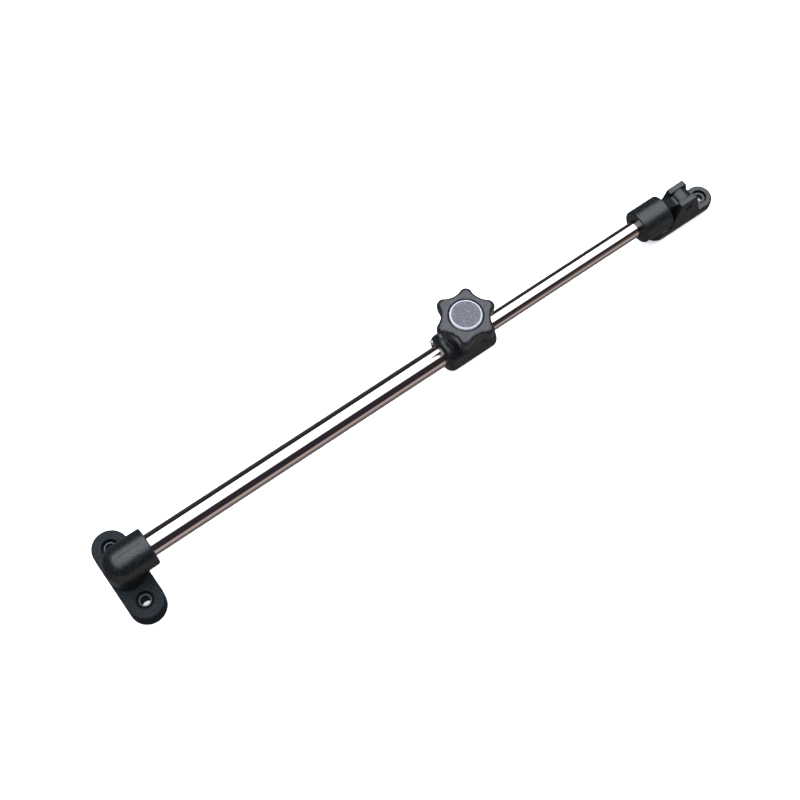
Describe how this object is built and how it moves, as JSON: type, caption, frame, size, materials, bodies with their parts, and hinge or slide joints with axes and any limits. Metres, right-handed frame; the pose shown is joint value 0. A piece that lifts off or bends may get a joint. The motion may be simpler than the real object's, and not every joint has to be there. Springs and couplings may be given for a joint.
{
  "type": "telescopic window stay",
  "caption": "Telescopic lockable stay: a rod slides in a polished tube and a star knob clamps it, with a swivel foot at one end and a hinged screw bracket at the other.",
  "frame": {"origin": "centre of the swivel base's mounting face, on the swivel axis", "axes": "+X along the tube towards the hinge bracket, +Z out of the mounting face along the swivel and the knob"},
  "size_m": [0.4092, 0.0556, 0.0597],
  "materials": {
    "moulded_black": "satin moulded nylon",
    "knob_black": "fine spark-eroded texture",
    "cap_grey": "fine texture with a bright rim",
    "polished_steel": "mirror polished stainless steel",
    "bush_nylon": "natural nylon",
    "brass": "turned",
    "screw_steel": "turned stainless steel"
  },
  "bodies": {
    "base": {"swivel_base": "moulded_black", "friction_washer": "bush_nylon"},
    "arm": {"swivel_elbow": "moulded_black", "pivot_insert": "brass", "pivot_bolt": "screw_steel", "spring_washer": "screw_steel", "elbow_set_screw": "screw_steel", "outer_tube": "polished_steel", "clamp_body": "moulded_black", "collar_screw": "screw_steel", "rod_guide_bush": "bush_nylon", "screw_insert": "brass"},
    "pad": {"pressure_pad": "brass"},
    "knob": {"star_knob": "knob_black", "knob_cap": "cap_grey", "clamp_screw": "screw_steel"},
    "stop": {"stop_bush": "bush_nylon"},
    "rod": {"inner_rod": "polished_steel", "stop_clip": "screw_steel", "rod_socket": "moulded_black", "socket_set_screw": "screw_steel", "tongue_bush": "bush_nylon", "pin_washers": "screw_steel"},
    "bracket": {"bracket_base": "moulded_black", "pivot_pin": "screw_steel"}
  },
  "joints": [
    {"name": "arm_swivel", "type": "hinge", "parent": "base", "child": "arm", "pos_m": [0, 0, 0], "axis": [0, 0, 1], "continuous": true},
    {"name": "rod_slide", "type": "slide", "parent": "arm", "child": "stop", "axis": [1, 0, 0], "range_m": [-0.104, 0.088]},
    {"name": "rod_turn", "type": "hinge", "parent": "stop", "child": "rod", "pos_m": [0.1184, 0, 0.0283], "axis": [1, 0, 0], "continuous": true},
    {"name": "bracket_tilt", "type": "hinge", "parent": "rod", "child": "bracket", "pos_m": [0.3743, 0, 0.0283], "axis": [0, -1, 0], "range_deg": [-6, 186]},
    {"name": "screw_travel", "type": "slide", "parent": "arm", "child": "pad", "axis": [0, 0, 1], "range_m": [0, 0.0015]},
    {"name": "knob_turn", "type": "hinge", "parent": "pad", "child": "knob", "pos_m": [0.219, 0, 0.0283], "axis": [0, 0, 1], "range_deg": [0, 540]}
  ],
  "couplings": [
    {"joint": "knob_turn", "follows": "screw_travel", "rad_per_m": 6283.2}
  ]
}
